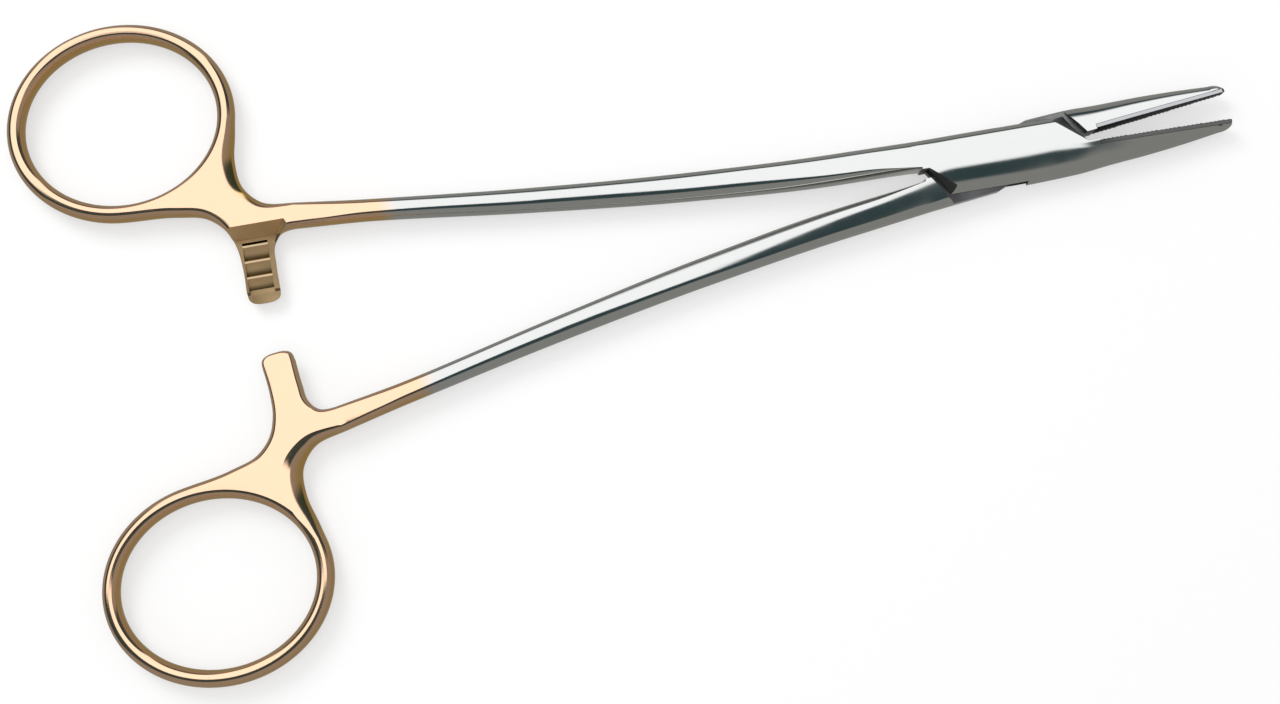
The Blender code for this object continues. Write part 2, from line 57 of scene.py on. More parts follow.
# shared shape helpers: stations, curves, meshes
def valueAt(stations, x):
    # smooth through the stations, without overshoot
    xs = [s[0] for s in stations]
    ys = [s[1] for s in stations]
    x = min(max(x, xs[0]), xs[-1])
    slopes = [(ys[i + 1] - ys[i]) / (xs[i + 1] - xs[i]) for i in range(len(xs) - 1)]
    lean = [slopes[0]]
    for before, after in zip(slopes, slopes[1:]):
        lean.append(2 * before * after / (before + after) if before * after > 0 else 0.0)
    lean.append(slopes[-1])
    i = max(j for j in range(len(slopes)) if x >= xs[j])
    span = xs[i + 1] - xs[i]
    s = (x - xs[i]) / span
    start = (1 + 2 * s) * (1 - s) ** 2 * ys[i] + s * (1 - s) ** 2 * span * lean[i]
    end = s * s * (3 - 2 * s) * ys[i + 1] + s * s * (s - 1) * span * lean[i + 1]
    return start + end


def curveThrough(points, step, before, after):
    # before and after only set the directions at the two ends
    chain = [Vector(p) for p in (before, *points, after)]
    path = []
    for a, b, c, d in zip(chain, chain[1:], chain[2:], chain[3:]):
        first, middle, last = (b - a).length, (c - b).length, (d - c).length
        leave = ((b - a) / first * middle + (c - b) / middle * first) / (first + middle)
        arrive = ((c - b) / middle * last + (d - c) / last * middle) / (middle + last)
        count = max(1, round(middle / step))
        for i in range(count):
            s = i / count
            start = b * (1 + 2 * s) * (1 - s) ** 2 + leave * middle * s * (1 - s) ** 2
            end = c * s * s * (3 - 2 * s) + arrive * middle * s * s * (s - 1)
            path.append(start + end)
    path.append(chain[-2])
    return path


def stepsBetween(start, end, step):
    count = max(1, round(abs(end - start) / step))
    return [start + (end - start) * i / count for i in range(count + 1)]


def polar(angle, length=1.0):
    turn = math.radians(angle)
    return Vector((math.cos(turn), math.sin(turn))) * length


def meshObject(name, meshData):
    mesh = bpy.data.meshes.new(name)
    meshData.to_mesh(mesh)
    meshData.free()
    thing = bpy.data.objects.new(name, mesh)
    scene.collection.objects.link(thing)
    return thing


def evaluatedMesh(thing):
    bpy.context.view_layer.update()
    graph = bpy.context.evaluated_depsgraph_get()
    return bpy.data.meshes.new_from_object(thing.evaluated_get(graph))


def joinRows(meshData, low, high):
    for i in range(len(low)):
        j = (i + 1) % len(low)
        meshData.faces.new((low[i], low[j], high[j], high[i]))


def closedObject(name, meshData, rows):
    # rows of equal count, joined by faces and closed at both ends
    for low, high in zip(rows, rows[1:]):
        joinRows(meshData, low, high)
    meshData.faces.new(list(reversed(rows[0])))
    meshData.faces.new(rows[-1])
    bmesh.ops.recalc_face_normals(meshData, faces=meshData.faces)
    return meshObject(name, meshData)


# the forging: one outline for both arms
ring = {
    "centre": (-115.0, 24.45),
    "opening": (25.6, 21.8),
    "wall": 2.3,
    "tilt": 3.0,
    "arcEnds": (-12.0, 262.0),
    "foot": (5.5, -0.5),                       # where the web leaves the ring, from its lowest point
    "side": ((-1.1, -7.9), (-0.5, -3.9)),      # the neck's last points, from the ring's right side
}
shank = {
    "stations": ((-94.0, 8.35, 3.45), (-84.0, 7.37, 2.95), (-63.3, 5.07, 3.33),
                 (-42.9, 3.27, 3.83), (-24.0, 2.25, 4.15)),      # place, middle line, width
    "gap": 0.24,
    "web": ((-3.6, 3.2), (-1.5, 1.35), (-0.4, -1.1), (0.0, -4.1)),
    "crook": ((0.0, -4.0), (0.2, -1.7), (1.2, -0.35), (2.8, 0.02)),
    "neck": ((-4.5, 0.95), (-6.5, 3.2)),
}
restOpening = 6.6        # degrees between the arms in the photograph
bar = {"centre": -99.9, "width": 4.4, "reach": 2.4, "endRound": 1.5, "endFullness": 0.72,
       "roundStep": 9.0}
box = {
    "start": -12.2, "width": 8.2, "thickness": 4.6, "swell": 0.05, "overrun": 1.1,
    "notchHandle": -11.15, "notchJaw": 10.1,
}
jaw = {
    "start": 8.0, "startStep": 0.2, "widths": (3.36, 2.9, 2.3, 1.55),
    "length": 30.0, "nose": 2.2, "stock": 1.0, "faceGap": 0.1, "roundStep": 7.5,
}
forging = {
    "handleThickness": 3.2, "shankThickness": 3.1, "swellThickness": 3.3, "noseThickness": 2.0,
    "fineStep": 0.4, "longStep": 0.9, "edgeRows": 10, "crownRows": 4, "smoothAngle": 30,
    # the crown's ridge: its distance from the tool's middle plane along the shank and the box
    "ridge": ((-63.3, 5.07), (-53.0, 4.15), (-43.0, 3.15), (-35.5, 2.55), (-30.0, 2.0),
              (-24.0, 1.45), (-18.6, 1.15), (-14.5, 0.62), (-11.5, 0.3), (-8.0, 0.1), (-2.0, 0.0)),
    "ridgeHalf": 0.03, "leastFlank": 0.12, "widestEdge": 0.97, "capClear": 0.6,
    "flank": ((-94.0, 0.8), (-84.0, 1.15), (-75.0, 1.4), (-63.3, 1.6)),
    # width of the rounded edge along each stretch of the handle
    "handle": {"rim": ((0.0, 1.12), (1.0, 1.12)), "web": ((0.0, 1.12), (0.5, 1.0), (1.0, 0.62)),
               "barNose": ((0.0, 0.62), (1.0, 0.62)), "crook": ((0.0, 0.62), (1.0, 0.8)),
               "neck": ((0.0, 0.9), (0.15, 1.3), (0.3, 1.95), (0.45, 2.5), (0.6, 2.6), (0.75, 2.2),
                        (0.9, 1.5), (1.0, 1.12))},
    # the rounded edge starts with a slight fall beside the flat: its share of the width, and its slope
    "shoulder": 0.22, "shoulderFall": 0.16,
    "drop": ((-12.2, 0.0), (-8.0, 0.26), (5.5, 0.26), (9.0, 0.42), (13.0, 0.75), (20.0, 0.7),
             (30.0, 0.34)),
    "boxEdge": ((-12.2, 1.0), (-8.0, 1.3), (12.0, 1.3)),
    # outside of the shank near the box: the crown's fall, and the share of its width that is rounded edge
    "outerDrop": ((-60.0, 0.0), (-50.0, 0.1), (-41.0, 0.24), (-30.0, 0.44), (-17.0, 0.76),
                  (-12.2, 0.8), (-6.0, 0.26), (0.0, 0.26)),
    "outerEdge": ((-60.0, 1.0), (-50.0, 0.8), (-41.0, 0.6), (-30.0, 0.43), (-17.0, 0.32), (-12.2, 0.3)),
    "crownBend": ((-60.0, 1.0), (-50.0, 1.4), (-14.0, 1.4), (-9.0, 1.0)),
    "jawEdge": ((5.5, 3.9), (9.0, 3.1), (13.0, 1.9), (20.0, 1.3), (30.0, 0.75)),
    "tipFlank": (0.9, 0.5), "tipDrop": 0.7, "stockFlank": 0.3,
    "flatTilt": 0.99999,        # faces more level than this belong to the flats
}


def halfThickness(x):
    return valueAt((
        (ring["centre"][0] - ring["opening"][0], forging["handleThickness"] / 2),
        (shank["stations"][0][0], forging["handleThickness"] / 2),
        (shank["stations"][2][0], forging["shankThickness"] / 2),
        (shank["stations"][3][0], forging["swellThickness"] / 2),
        (box["start"] - box["overrun"], box["thickness"] / 2),
        (box["notchJaw"] + box["overrun"], box["thickness"] / 2),
        (jaw["length"], forging["noseThickness"] / 2),
    ), x)


def shankEdge(x, side):
    # side 1 is the outer edge, side -1 the one that faces the other arm
    boxMiddle = (box["width"] + shank["gap"]) / 4
    boxShare = (box["width"] - shank["gap"]) / 2
    stations = (*shank["stations"], (box["start"], boxMiddle, boxShare))
    middle, width = (valueAt([(station[0], station[i]) for station in stations], x) for i in (1, 2))
    edge = middle + side * width / 2
    return edge if side > 0 else max(edge, shank["gap"] / 2)


def jawStations():
    start = (jaw["start"], box["width"] / 2 - jaw["startStep"])
    step = (jaw["length"] - jaw["nose"] - jaw["start"]) / len(jaw["widths"])
    return [start, *[(jaw["start"] + step * (i + 1), width) for i, width in enumerate(jaw["widths"])]]


def lowerEdge(x):
    stations = [(box["start"], box["width"] / 2), (0.0, box["width"] / 2 + box["swell"]), *jawStations()]
    return valueAt(stations, x)


def ringPoint(angle, wall):
    turn, tilt = math.radians(angle), math.radians(ring["tilt"])
    along = (ring["opening"][0] / 2 + wall) * math.cos(turn)
    across = (ring["opening"][1] / 2 + wall) * math.sin(turn)
    x = ring["centre"][0] + along * math.cos(tilt) - across * math.sin(tilt)
    y = ring["centre"][1] + along * math.sin(tilt) + across * math.cos(tilt)
    return Vector((x, y))


def ringArc(start, end, wall):
    size = sum(ring["opening"]) / 4 + wall
    step = math.degrees(forging["fineStep"] * 1.25 / size)
    return [ringPoint(angle, wall) for angle in stepsBetween(start, end, step)]


def armOutline():
    # every point with the width of its crowned flank, its rounded edge and its drop towards that edge
    fine, coarse = forging["fineStep"], forging["longStep"]
    rootX = shank["stations"][0][0]
    boxHalf = box["width"] / 2
    barLeft, barRight = bar["centre"] - bar["width"] / 2, bar["centre"] + bar["width"] / 2
    innerRoot, outerRoot = shankEdge(rootX, -1), shankEdge(rootX, 1)
    ringRight = ring["centre"][0] + ring["opening"][0] / 2 + ring["wall"]
    ringLow = ring["centre"][1] - ring["opening"][1] / 2 - ring["wall"]
    barEnd = bar["endRound"] - bar["reach"]

    rim = ringArc(*ring["arcEnds"], ring["wall"])
    webPoints = [(barLeft + along, innerRoot + across) for along, across in shank["web"]]
    ringFoot = (ring["centre"][0] + ring["foot"][0], ringLow + ring["foot"][1])
    web = curveThrough([rim[-1], ringFoot, *webPoints, (barLeft, barEnd)], fine,
                       rim[-2], (barLeft, barEnd - 1))
    barNose = []
    for angle in stepsBetween(180.0, 360.0, bar["roundStep"]):
        turn = polar(angle)
        along = math.copysign(abs(turn.x) ** bar["endFullness"], turn.x) * bar["width"] / 2
        across = abs(turn.y) ** bar["endFullness"] * bar["endRound"]
        barNose.append(Vector((bar["centre"] + along, barEnd - across)))
    crookPoints = [(barRight + along, innerRoot + across) for along, across in shank["crook"]]
    crook = curveThrough([(barRight, barEnd), *crookPoints, (rootX, innerRoot)], fine,
                         (barRight, barEnd - 1), (rootX + 1, shankEdge(rootX + 1, -1)))
    inner = [Vector((x, shankEdge(x, -1))) for x in stepsBetween(rootX, box["start"], coarse)]
    stepDown = [Vector((box["start"], y)) for y in stepsBetween(shank["gap"] / 2, -boxHalf, fine * 2)]
    jawEnd, jawEndWidth = jawStations()[-1]
    under = [Vector((x, -lowerEdge(x))) for x in stepsBetween(box["start"], jawEnd, fine * 1.5)]
    tip = []
    for angle in stepsBetween(-90.0, 0.0, jaw["roundStep"]):
        turn = polar(angle)
        tip.append(Vector((jawEnd + turn.x * jaw["nose"], turn.y * jawEndWidth)))
    boxEnd = box["notchJaw"] + 2 * box["overrun"]
    face = [Vector((x, jaw["stock"])) for x in stepsBetween(jaw["length"], boxEnd, coarse)]
    stepUp = [Vector((boxEnd, y)) for y in stepsBetween(jaw["stock"], boxHalf, fine * 2)]
    over = [Vector((x, boxHalf)) for x in stepsBetween(boxEnd, box["start"], fine * 1.5)]
    outer = [Vector((x, shankEdge(x, 1))) for x in stepsBetween(box["start"], rootX, coarse)]
    neckPoints = [(rootX + along, outerRoot + across) for along, across in shank["neck"]]
    sidePoints = [(ringRight + along, ring["centre"][1] + across) for along, across in ring["side"]]
    neck = curveThrough([(rootX, outerRoot), *neckPoints, *sidePoints, rim[0]], fine,
                        (rootX + 1, shankEdge(rootX + 1, 1)), rim[1])

    outline = []
    named = (("rim", rim), ("web", web), ("barNose", barNose), ("crook", crook), ("inner", inner),
             ("stock", stepDown), ("under", under), ("tip", tip), ("stock", face), ("stock", stepUp),
             ("over", over), ("outer", outer), ("neck", neck))
    for name, points in named:
        for i, point in enumerate(points):
            if outline and (point - outline[-1][0]).length < fine / 8:
                continue
            outline.append((point, *flankAt(point, name, i / (len(points) - 1))))
    if (outline[0][0] - outline[-1][0]).length < fine / 8:
        outline.pop()
    return outline


def flankAt(point, stretch, share):
    # width to the ridge, width of the rounded edge, and how far the crown drops before that edge
    x, y = point
    if stretch in forging["handle"]:
        width = valueAt(forging["handle"][stretch], share)
        return width, width * (1 - forging["shoulder"]), width * forging["shoulderFall"]
    if stretch in ("inner", "outer"):
        half = (shankEdge(x, 1) - shankEdge(x, -1)) / 2
        width = min(valueAt(forging["flank"], x), half - forging["ridgeHalf"])
        if x > forging["ridge"][0][0]:
            width = max(abs(y - valueAt(forging["ridge"], x)) - forging["ridgeHalf"], forging["leastFlank"])
            if stretch == "outer":
                return width, width * valueAt(forging["outerEdge"], x), valueAt(forging["outerDrop"], x)
        fade = valueAt(((shank["stations"][0][0], 1.0), (shank["stations"][1][0], 0.0)), x)
        return width, width * (1 - forging["shoulder"] * fade), width * forging["shoulderFall"] * fade
    handleStock = x < box["notchHandle"] and y < 0
    jawStock = x > box["notchJaw"] and y > 0
    if stretch == "stock" or handleStock or jawStock:
        return forging["stockFlank"], forging["stockFlank"], 0.0
    drop = valueAt(forging["drop"], x)
    if stretch == "over":
        width = y - valueAt(forging["ridge"], x) - forging["ridgeHalf"]
        edge = min(width, valueAt(forging["boxEdge"], x))
        return width, edge, max(drop, valueAt(forging["outerDrop"], x))
    if stretch == "tip":
        least, more = forging["tipFlank"]
        width = least + more * (jaw["length"] - x) / jaw["nose"]
        return width, forging["jawEdge"][-1][1], drop * forging["tipDrop"]
    width = valueAt(forging["ridge"], x) - y - forging["ridgeHalf"]
    return width, min(valueAt(forging["jawEdge"], x), width), drop


def inward(points, i):
    along = points[(i + 1) % len(points)] - points[i - 1]
    return Vector((-along.y, along.x)).normalized()


def crownRow(width, edge, drop, bend, height, row):
    # inset and height of one row of the flank: a rounded edge, then a slow rise to the ridge
    edgeRows, crownRows = forging["edgeRows"], forging["crownRows"]
    edge = min(edge, width * forging["widestEdge"])
    if row <= edgeRows:
        inset = edge * (1 - math.cos(math.pi / 2 * row / edgeRows))
    else:
        inset = edge + (width - edge) * (row - edgeRows) / crownRows
    rise = math.sqrt(max(0.0, 1 - (1 - min(inset, edge) / edge) ** 2))
    fall = drop * max(0.0, 1 - inset / width) ** bend
    return inset, (height - fall) * rise


def forgedBlank(name, side):
    print("forging", name)
    hole = [(point, *flankAt(point, "rim", 0.0)) for point in ringArc(0.0, -360.0, 0.0)[:-1]]
    meshData = bmesh.new()
    rowCount = forging["edgeRows"] + forging["crownRows"]
    tops, bottoms = [], []
    for loop in (armOutline(), hole):
        points = [item[0] for item in loop]
        rows = {}
        for row in range(-rowCount, rowCount + 1):
            rows[row] = []
            for i, (point, width, edge, drop) in enumerate(loop):
                bend = valueAt(forging["crownBend"], point.x)
                inset, height = crownRow(width, edge, drop, bend, 1.0, abs(row))
                spot = point + inward(points, i) * inset
                inset, height = crownRow(width, edge, drop, bend, halfThickness(spot.x), abs(row))
                z = math.copysign(height, row)
                rows[row].append(meshData.verts.new((spot.x, side * spot.y, z)))
        for row in range(-rowCount, rowCount):
            joinRows(meshData, rows[row], rows[row + 1])
        tops.append(rows[rowCount])
        bottoms.append(rows[-rowCount])
    for loops, sign in ((tops, 1), (bottoms, -1)):
        fillCap(meshData, loops, sign, side)
    bmesh.ops.triangulate(meshData, faces=meshData.faces)
    bmesh.ops.recalc_face_normals(meshData, faces=meshData.faces)
    openEdges = sum(1 for edge in meshData.edges if len(edge.link_faces) != 2)
    print("   ", len(meshData.verts), "points,", openEdges, "open edges")
    for vert in meshData.verts:
        vert.co *= mm
    return meshObject(name, meshData)


def fillCap(meshData, loops, sign, side):
    # the narrow flat between the ridges, with points inside it where the web is wide
    corners, edges, verts = [], [], []
    for loop in loops:
        first = len(corners)
        corners += [Vector((vert.co.x, vert.co.y)) for vert in loop]
        verts += loop
        edges += [(first + i, first + (i + 1) % len(loop)) for i in range(len(loop))]
    wall = np.array([(p.x, p.y) for p in corners])
    low, high = wall.min(0), wall.max(0)
    spacing = forging["longStep"]
    for x in np.arange(low[0], shank["stations"][0][0], spacing):
        for y in np.arange(low[1], high[1], spacing):
            near = np.hypot(wall[:, 0] - x, wall[:, 1] - y).min()
            if near > spacing * forging["capClear"] and insideLoops(corners, edges, x, y):
                corners.append(Vector((x, y)))
    filled = delaunay_2d_cdt(corners, edges, [], 1, 1e-7)
    points, faces = filled[0], filled[2]
    made = list(verts)
    for i in range(len(verts), len(points)):
        height = halfThickness(points[i].x)
        made.append(meshData.verts.new((points[i].x, points[i].y, sign * height)))
    for face in faces:
        centre = sum((points[i] for i in face), Vector((0, 0))) / len(face)
        if insideLoops(corners, edges, centre.x, centre.y):
            meshData.faces.new([made[i] for i in face])


def insideLoops(corners, edges, x, y):
    inside = False
    for a, b in edges:
        p, q = corners[a], corners[b]
        if (p.y > y) != (q.y > y) and x < p.x + (y - p.y) / (q.y - p.y) * (q.x - p.x):
            inside = not inside
    return inside


# finishes; lines is how deep the polishing lines are
finish = {
    # the polished flank gold is painted shade: a deeper, darker gold for the rounded edges of the handles
    "polished": {"gold": (0.7, 0.46, 0.3), "flank": (0.62, 0.38, 0.12), "steel": (0.485, 0.487, 0.465),
                 "roughness": 0.1, "lines": 0.04},
    # the machined steel is darker than the polished steel: painted shade on the cut faces of the lock, the
    # bore and the ratchet
    "machined": {"gold": (0.74, 0.51, 0.27), "steel": (0.2, 0.202, 0.2), "roughness": 0.5, "lines": 0.12},
    "goldEdge": -82.0, "goldFade": 1.5, "flankShadeHeights": (0.22, 0.44),
    # the ratchet and the tongue's ledge: painted shade in the grooves, on the bar's end past the teeth and
    # on the ledge, and a painted highlight along the crests
    "paintedGrooveShade": (0.13, 0.08, 0.035), "grooveShadeFrom": (0.62, 1.0), "crest": (0.4, 0.3, 0.18), "crestLap": 0.01,
    "crestShine": 0.6, "barEnd": (0.3, 0.21, 0.11), "barEndShadeFrom": -0.2,
    "ledge": (0.09, 0.091, 0.09), "ledgeLayer": 0.02,
    # the inserts: colour and roughness of the teeth, then of the ground top and back
    "carbide": ((0.13, 0.132, 0.135), (0.32, 0.322, 0.325)), "carbideRoughness": (0.45, 0.12),
    "toothedTo": 0.2,
    "lineScale": (400, 9000, 9000), "lineHeight": 0.00002,
    "smudgeScale": 220.0, "smudgeRange": (0.3, 0.7, 0.75, 1.35),
}


def newMaterial(name):
    material = bpy.data.materials.new(name)
    material.use_nodes = True
    return material, material.node_tree, material.node_tree.nodes["Principled BSDF"]


def setInputs(node, values):
    for name, value in values.items():
        node.inputs[name].default_value = value
    return node


def axesOf(tree, vector):
    node = tree.nodes.new("ShaderNodeSeparateXYZ")
    tree.links.new(vector, node.inputs[0])
    return node.outputs


def nodeMaths(tree):
    # calc(operation, a, b) and ramp(value, low, high), each with sockets or plain numbers
    def calc(operation, *values):
        node = tree.nodes.new("ShaderNodeMath")
        node.operation = operation
        for slot, value in zip(node.inputs, values):
            if isinstance(value, (int, float)):
                slot.default_value = value
            else:
                tree.links.new(value, slot)
        return node.outputs[0]

    def ramp(value, low, high):
        node = setInputs(tree.nodes.new("ShaderNodeMapRange"), {"From Min": low, "From Max": high})
        node.interpolation_type = "SMOOTHSTEP"
        tree.links.new(value, node.inputs["Value"])
        return node.outputs["Result"]
    return calc, ramp


def mixColours(tree, factor, first, second):
    node = tree.nodes.new("ShaderNodeMix")
    node.data_type = "RGBA"
    tree.links.new(factor, node.inputs["Factor"])
    for slot, value in ((node.inputs["A"], first), (node.inputs["B"], second)):
        if isinstance(value, tuple):
            slot.default_value = (*value, 1)
        else:
            tree.links.new(value, slot)
    return node.outputs["Result"]


def armPlace(tree, side):
    # the arm's own axes, in metres
    place = tree.nodes.new("ShaderNodeTexCoord")
    turned = setInputs(tree.nodes.new("ShaderNodeMapping"), {
        "Location": (0, 0, -pivot.z), "Rotation": (0, 0, math.radians(side * restOpening / 2))})
    tree.links.new(place.outputs["Object"], turned.inputs["Vector"])
    return turned.outputs[0]


def addPolish(tree, shader, place, look):
    # fine polishing lines in the bump, and faint smudges in the roughness
    nodes, links = tree.nodes, tree.links
    stretch = setInputs(nodes.new("ShaderNodeMapping"), {"Scale": finish["lineScale"]})
    lines = setInputs(nodes.new("ShaderNodeTexNoise"), {"Scale": 1.0, "Detail": 2.0})
    bump = setInputs(nodes.new("ShaderNodeBump"), {
        "Strength": look["lines"], "Distance": finish["lineHeight"]})
    smudges = setInputs(nodes.new("ShaderNodeTexNoise"), {"Scale": finish["smudgeScale"], "Detail": 3.0})
    limits = ("From Min", "From Max", "To Min", "To Max")
    spread = setInputs(nodes.new("ShaderNodeMapRange"), dict(zip(limits, finish["smudgeRange"])))
    links.new(place, stretch.inputs["Vector"])
    links.new(stretch.outputs[0], lines.inputs["Vector"])
    links.new(lines.outputs["Fac"], bump.inputs["Height"])
    links.new(bump.outputs["Normal"], shader.inputs["Normal"])
    links.new(place, smudges.inputs["Vector"])
    links.new(smudges.outputs["Fac"], spread.inputs["Value"])
    calc = nodeMaths(tree)[0]
    links.new(calc("MULTIPLY", spread.outputs["Result"], look["roughness"]), shader.inputs["Roughness"])


def metalFinish(name, side, kind, plated=True):
    look = finish[kind]
    material, tree, shader = newMaterial(name)
    place = armPlace(tree, side)
    addPolish(tree, shader, place, look)
    setInputs(shader, {"Metallic": 1.0, "Base Color": (*look["steel"], 1)})
    if plated:
        x, y, z = axesOf(tree, place)
        calc, ramp = nodeMaths(tree)
        edge, fade, gold = finish["goldEdge"], finish["goldFade"], look["gold"]
        share = ramp(x, (edge - fade) * mm, (edge + fade) * mm)
        if "flank" in look:
            # painted shade: the rounded edges get a deeper, darker gold than the flats, standing in for the
            # darker reflections they catch
            low, high = (part * forging["handleThickness"] * mm for part in finish["flankShadeHeights"])
            gold = mixColours(tree, ramp(calc("ABSOLUTE", z), low, high), look["flank"], gold)
        tree.links.new(mixColours(tree, share, gold, look["steel"]), shader.inputs["Base Color"])
    return material


def toothedPart():
    # the teeth stop short of the bar's two edges
    left, right = ratchet["rims"]
    return bar["centre"] - bar["width"] / 2 + left, bar["centre"] + bar["width"] / 2 - right


def toothFinish(name, side):
    # the machined finish, with painted shade in the grooves of the ratchet and on the bar's end past the
    # teeth, and polished along its crests with a painted highlight there
    material = metalFinish(name, side, "machined")
    tree = material.node_tree
    shader = tree.nodes["Principled BSDF"]
    colour = shader.inputs["Base Color"].links[0].from_socket
    roughness = shader.inputs["Roughness"].links[0].from_socket
    x, y, z = axesOf(tree, armPlace(tree, side))
    calc, ramp = nodeMaths(tree)
    # how many teeth lie between this point and the first root
    along = calc("SUBTRACT", ratchet["first"] * mm, calc("MULTIPLY", y, side))
    count = calc("DIVIDE", along, ratchet["pitch"] * mm)
    phase = calc("FRACT", count)
    onBar = calc("LESS_THAN", x, (bar["centre"] + bar["width"]) * mm)
    past = calc("MULTIPLY", onBar, calc("GREATER_THAN", count, finish["barEndShadeFrom"]))
    left, right = toothedPart()
    between = calc("MULTIPLY", calc("GREATER_THAN", x, left * mm), calc("LESS_THAN", x, right * mm))
    counted = calc("MULTIPLY", calc("GREATER_THAN", count, 0.0), calc("LESS_THAN", count, ratchet["count"]))
    onTeeth = calc("MULTIPLY", calc("MULTIPLY", onBar, between), counted)
    barEndShade = calc("MULTIPLY", past, calc("SUBTRACT", 1.0, onTeeth))
    steep, crest = ratchet["rise"] / ratchet["pitch"], ratchet["crest"] / ratchet["pitch"]
    crestStart = steep - finish["crestLap"]
    grooveShadeMask = calc("MAXIMUM", calc("LESS_THAN", phase, crestStart), ramp(phase, *finish["grooveShadeFrom"]))
    onCrest = calc("MULTIPLY", calc("GREATER_THAN", phase, crestStart),
                   calc("LESS_THAN", phase, steep + crest))
    if side < 0:
        # the tongue's ledge below the box lies in shade
        ledge = calc("ABSOLUTE", calc("SUBTRACT", z, lock["tongueThickness"] / 2 * mm))
        shaded = calc("MULTIPLY", calc("LESS_THAN", ledge, finish["ledgeLayer"] * mm),
                      calc("LESS_THAN", y, 0.0))
        colour = mixColours(tree, shaded, colour, finish["ledge"])
    # painted shade in the grooves, darkest at their roots
    colour = mixColours(tree, calc("MULTIPLY", grooveShadeMask, onTeeth), colour, finish["paintedGrooveShade"])
    # painted shade on the bar's recessed end past the teeth
    colour = mixColours(tree, barEndShade, colour, finish["barEnd"])
    # the crests are polished smoother, and their own colour there is a painted highlight along each crest
    paintedCrestHighlight = calc("MULTIPLY", onCrest, onTeeth)
    tree.links.new(mixColours(tree, paintedCrestHighlight, colour, finish["crest"]), shader.inputs["Base Color"])
    dull = calc("SUBTRACT", 1.0, calc("MULTIPLY", paintedCrestHighlight, finish["crestShine"]))
    tree.links.new(calc("MULTIPLY", roughness, dull), shader.inputs["Roughness"])
    return material


def carbideFinish(name, side):
    # dark teeth, and a ground top and back that shine like the jaw around them
    material, tree, shader = newMaterial(name)
    place = armPlace(tree, side)
    addPolish(tree, shader, place, finish["polished"])
    setInputs(shader, {"Metallic": 1.0})
    calc = nodeMaths(tree)[0]
    back = calc("GREATER_THAN", calc("ABSOLUTE", axesOf(tree, place)["Y"]), finish["toothedTo"] * mm)
    tree.links.new(mixColours(tree, back, *finish["carbide"]), shader.inputs["Base Color"])
    toothed, ground = finish["carbideRoughness"]
    roughness = calc("SUBTRACT", toothed, calc("MULTIPLY", back, toothed - ground))
    tree.links.new(roughness, shader.inputs["Roughness"])
    return material


def wear(thing, material):
    thing.data.materials.clear()
    thing.data.materials.append(material)


boxFinish = metalFinish("boxArmPolished", 1, "polished")
tongueFinish = metalFinish("tongueArmPolished", -1, "polished")
pinFinish = metalFinish("pinPolished", 1, "polished", plated=False)
lowerCarbide = carbideFinish("lowerCarbide", 1)
upperCarbide = carbideFinish("upperCarbide", -1)


# cuts: the box lock, the jaw seats and the ratchet
lock = {
    "tongueThickness": 1.6, "hubRadius": 3.0, "slotGap": 0.1, "sideGap": 0.15,
    "notchGap": 0.15, "cheekDeep": 122.0, "cheekTop": 140.0,
    "shoulderDeep": 118.0, "shoulderTop": 99.0, "stop": 45.0,
    "pinRadius": 1.5, "pinGap": 0.003, "runningGap": 0.08, "boreSides": 96,
    "beyond": 8.0, "margin": 0.2, "slotMargin": 3.0, "farCorner": (30.0, 18.0),
}
insert = {
    "start": 11.6, "thickness": 0.6, "seatGap": 0.05, "endGap": 0.25,
    "pitch": 0.28, "depth": 0.13, "flush": 0.01, "noseRound": 0.9,
    # how many pitches the pyramids keep from the sides and from the end, and their blunt tips
    "sideClear": 0.8, "endClear": 0.6, "rowsEachSide": 20, "toothTip": 0.12,
}
ratchet = {
    "count": 3, "pitch": 2.1, "depth": 0.55, "rise": 0.3, "crest": 0.36, "floor": 0.02, "soften": 0.05,
    "first": 5.9, "gap": 0.2, "rims": (0.35, 0.7),
    "endShare": 0.3, "endDrop": 0.33, "rootDrop": 0.22, "slope": (-0.3, 1.4), "slant": 1.2,
}

boxMachined = toothFinish("boxArmMachined", 1)
tongueMachined = toothFinish("tongueArmMachined", -1)


def loftCutter(name, levels):
    # levels of equal count, each its height and its points
    meshData = bmesh.new()
    rows = [[meshData.verts.new((x * mm, y * mm, z * mm)) for x, y in points] for z, points in levels]
    return closedObject(name, meshData, rows)


def cylinder(name, radius):
    meshData = bmesh.new()
    bmesh.ops.create_cone(meshData, cap_ends=True, segments=lock["boreSides"], radius1=radius * mm,
                          radius2=radius * mm, depth=box["thickness"] * 4 * mm)
    return meshObject(name, meshData)


def slotCutter():
    reach = lock["hubRadius"] + lock["sideGap"]
    corner = reach / math.cos(math.radians(lock["stop"] / 2))
    farTurn, farReach = lock["farCorner"]
    points = []
    for apex, turn in ((box["notchHandle"], 0.0), (box["notchJaw"], 180.0)):
        slope = math.degrees(math.asin(lock["hubRadius"] / abs(apex)))
        foot = polar(90.0 + slope + turn, reach)
        bend = polar(90.0 + slope + lock["stop"] / 2 + turn, corner)
        points.append(foot - polar(slope + turn) * (abs(apex) + lock["slotMargin"]))
        points.append(bend)
        points.append(bend + polar(slope + lock["stop"] + turn) * lock["beyond"])
        points.append(polar(farTurn + turn, farReach))
    half = lock["tongueThickness"] / 2 + lock["slotGap"]
    return loftCutter("slot", ((-half, points), (half, points)))


def cheekCutter(name, apex, y, turn):
    # ends the box's cheeks, and opens out from the slot to the top and bottom
    outside = box["thickness"] / 2 + lock["margin"]
    deep = lock["tongueThickness"] / 2 + lock["slotGap"]
    start = Vector((apex, y))
    levels = []
    for z in (-outside, -deep, deep, outside):
        angle = lock["cheekTop"] if abs(z) > deep else lock["cheekDeep"]
        points = (start, start + polar(angle + turn, lock["beyond"] * 1.2),
                  start + polar(90.0 + turn, lock["beyond"]) + polar(turn) * jaw["length"],
                  start + polar(turn) * jaw["length"])
        levels.append((z, points))
    return loftCutter(name, levels)


